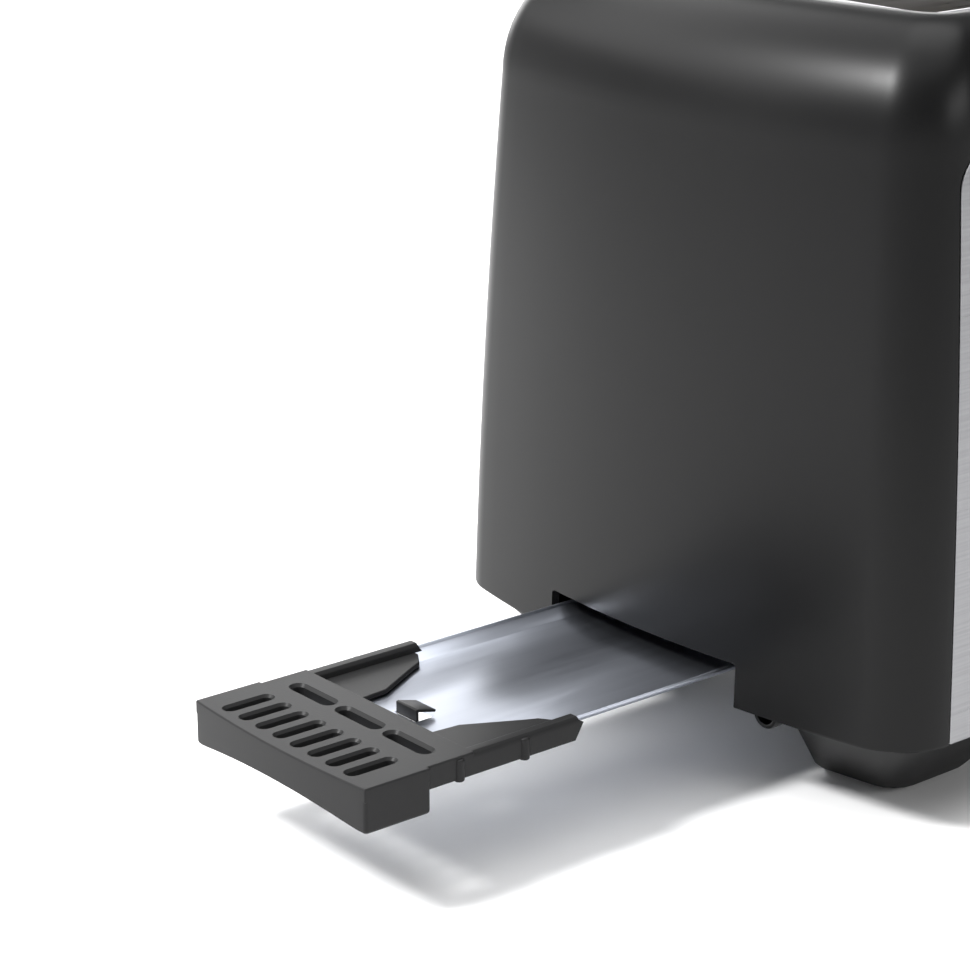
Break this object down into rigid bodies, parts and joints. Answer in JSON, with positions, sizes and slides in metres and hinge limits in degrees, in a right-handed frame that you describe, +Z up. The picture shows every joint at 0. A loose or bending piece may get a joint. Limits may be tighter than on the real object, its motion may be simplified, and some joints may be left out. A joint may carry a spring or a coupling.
{
  "type": "pop up toaster",
  "caption": "Black moulded two-slot pop up toaster with brushed steel side panels, moving carriage and guides, and a crumb tray that slides out of one end.",
  "frame": {"origin": "centre of the bounding box's base, with the crumb tray drawn out as stored", "axes": "+X from the crumb tray end to the control end, +Z up"},
  "size_m": [0.406, 0.173, 0.1975],
  "materials": {
    "moulded_black": "satin black moulding",
    "moulded_charcoal": "fine matt charcoal moulding",
    "brushed_steel": "brushed along the length",
    "bright_steel": "bright rolled steel sheet",
    "galvanised_steel": "plated sheet",
    "mica": "mica board",
    "rubber": "soft black rubber",
    "copper": "enamelled copper winding",
    "circuit_board": "phenolic board"
  },
  "bodies": {
    "housing": {"housing_shell": "moulded_black", "steel_panel_front": "brushed_steel", "steel_panel_back": "brushed_steel", "control_bezel": "brushed_steel", "top_plate": "bright_steel", "base_plate": "moulded_black", "base_screw_1": "galvanised_steel", "base_screw_2": "galvanised_steel", "base_screw_3": "galvanised_steel", "base_screw_4": "galvanised_steel", "cord_gland": "rubber", "foot_1": "moulded_black", "foot_2": "moulded_black", "foot_3": "moulded_black", "foot_4": "moulded_black", "foot_pad_1": "rubber", "foot_pad_2": "rubber", "foot_pad_3": "rubber", "foot_pad_4": "rubber", "cord_cleat_1": "moulded_black", "cord_cleat_2": "moulded_black", "chassis_plate_tray_end": "galvanised_steel", "chassis_plate_control_end": "galvanised_steel", "heat_shield_front": "galvanised_steel", "heat_shield_back": "galvanised_steel", "crumb_deflector_front": "galvanised_steel", "crumb_deflector_back": "galvanised_steel", "heater_card_front_inner": "mica", "heater_card_front_outer": "mica", "heater_card_back_inner": "mica", "heater_card_back_outer": "mica", "guide_rod": "bright_steel", "rod_bracket_upper": "galvanised_steel", "rod_bracket_lower": "galvanised_steel", "lift_spring": "bright_steel", "magnet_core": "galvanised_steel", "magnet_coil": "copper", "circuit_board": "circuit_board", "browning_control_body": "galvanised_steel", "switch_cancel": "moulded_black", "switch_reheat": "moulded_black", "switch_defrost": "moulded_black"},
    "crumb_tray": {"crumb_tray_pan": "bright_steel", "crumb_tray_handle": "moulded_charcoal"},
    "carriage": {"bread_rack_front": "galvanised_steel", "bread_rack_back": "galvanised_steel", "carriage_bracket": "galvanised_steel", "armature": "galvanised_steel", "lever_arm": "galvanised_steel", "lever_knob": "moulded_black"},
    "guide_front_inner": {"bread_guide_front_inner": "bright_steel"},
    "guide_front_outer": {"bread_guide_front_outer": "bright_steel"},
    "guide_back_inner": {"bread_guide_back_inner": "bright_steel"},
    "guide_back_outer": {"bread_guide_back_outer": "bright_steel"},
    "browning_knob": {"browning_knob": "moulded_black", "browning_shaft": "galvanised_steel"},
    "button_cancel": {"button_cancel": "moulded_black"},
    "button_reheat": {"button_reheat": "moulded_black"},
    "button_defrost": {"button_defrost": "moulded_black"}
  },
  "joints": [
    {"name": "crumb_tray_slide", "type": "slide", "parent": "housing", "child": "crumb_tray", "axis": [-1, 0, 0], "range_m": [-0.115, 0.12]},
    {"name": "carriage_slide", "type": "slide", "parent": "housing", "child": "carriage", "axis": [0, 0, -1], "range_m": [-0.008, 0.068], "stiffness_N_per_m": 100, "springref_m": -0.0141, "deforming": ["lift_spring"]},
    {"name": "guide_front_inner_slide", "type": "slide", "parent": "housing", "child": "guide_front_inner", "axis": [0, -1, 0], "range_m": [-0.001, 0.006]},
    {"name": "guide_front_outer_slide", "type": "slide", "parent": "housing", "child": "guide_front_outer", "axis": [0, 1, 0], "range_m": [-0.001, 0.006]},
    {"name": "guide_back_inner_slide", "type": "slide", "parent": "housing", "child": "guide_back_inner", "axis": [0, 1, 0], "range_m": [-0.001, 0.006]},
    {"name": "guide_back_outer_slide", "type": "slide", "parent": "housing", "child": "guide_back_outer", "axis": [0, -1, 0], "range_m": [-0.001, 0.006]},
    {"name": "browning_knob_turn", "type": "hinge", "parent": "housing", "child": "browning_knob", "pos_m": [0.193, 0, 0.046], "axis": [1, 0, 0], "range_deg": [-135, 135]},
    {"name": "button_cancel_press", "type": "slide", "parent": "housing", "child": "button_cancel", "axis": [-1, 0, 0], "range_m": [0, 0.002], "stiffness_N_per_m": 300},
    {"name": "button_reheat_press", "type": "slide", "parent": "housing", "child": "button_reheat", "axis": [-1, 0, 0], "range_m": [0, 0.002], "stiffness_N_per_m": 300},
    {"name": "button_defrost_press", "type": "slide", "parent": "housing", "child": "button_defrost", "axis": [-1, 0, 0], "range_m": [0, 0.002], "stiffness_N_per_m": 300}
  ],
  "couplings": [
    {"joint": "guide_front_inner_slide", "follows": "carriage_slide", "ratio": 0.0735},
    {"joint": "guide_front_outer_slide", "follows": "carriage_slide", "ratio": 0.0735},
    {"joint": "guide_back_inner_slide", "follows": "carriage_slide", "ratio": 0.0735},
    {"joint": "guide_back_outer_slide", "follows": "carriage_slide", "ratio": 0.0735}
  ]
}
